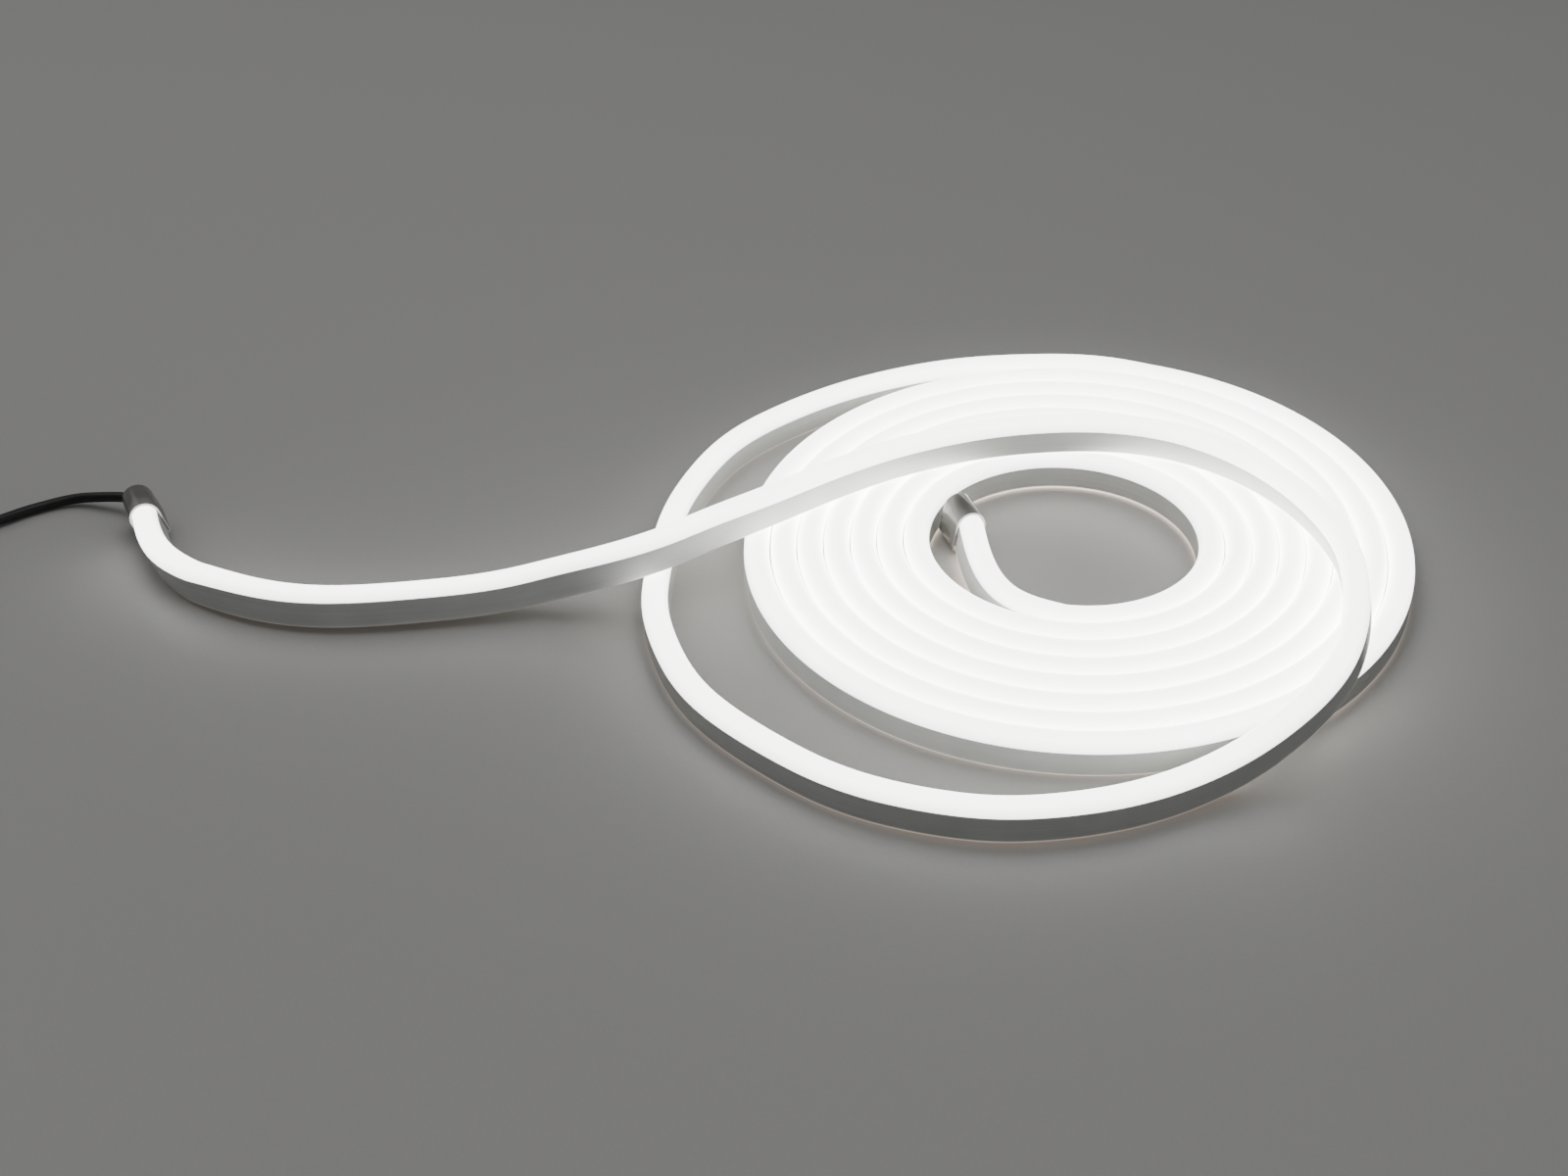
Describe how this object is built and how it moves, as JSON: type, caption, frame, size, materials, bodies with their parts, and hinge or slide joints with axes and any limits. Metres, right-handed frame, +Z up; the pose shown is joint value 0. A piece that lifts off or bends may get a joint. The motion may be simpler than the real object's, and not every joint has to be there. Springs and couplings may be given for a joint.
{
  "type": "led neon flex",
  "caption": "Flexible LED light strip with a domed milky face in a white jacket, lying lit in a loose flat coil, with an end cap on each end and a thin black lead.",
  "frame": {"origin": "middle of the box around strip and caps, on the floor that the coil lies on", "axes": "+Z up off the floor, out of the lit face; +X from the loose tail and its lead towards the coil; +Y away from the side where the free inner end leaves the coil's hole"},
  "size_m": [0.5451, 0.2762, 0.0278],
  "materials": {
    "jacket": "matt white silicone",
    "diffuser": "milky silicone, lit from inside",
    "cap": "frosted clear plastic",
    "lead": "black cable sheath",
    "tie": "black wire tie",
    "plug": "black moulded plastic",
    "barrel": "nickel plated"
  },
  "bodies": {
    "root": {"jacket": "jacket", "diffuser": "diffuser", "end_cap": "cap", "feed_cap": "cap", "lead": "lead", "lead_coil": "lead", "lead_tie": "tie", "dc_plug": "plug", "dc_plug_barrel": "barrel"}
  },
  "joints": []
}
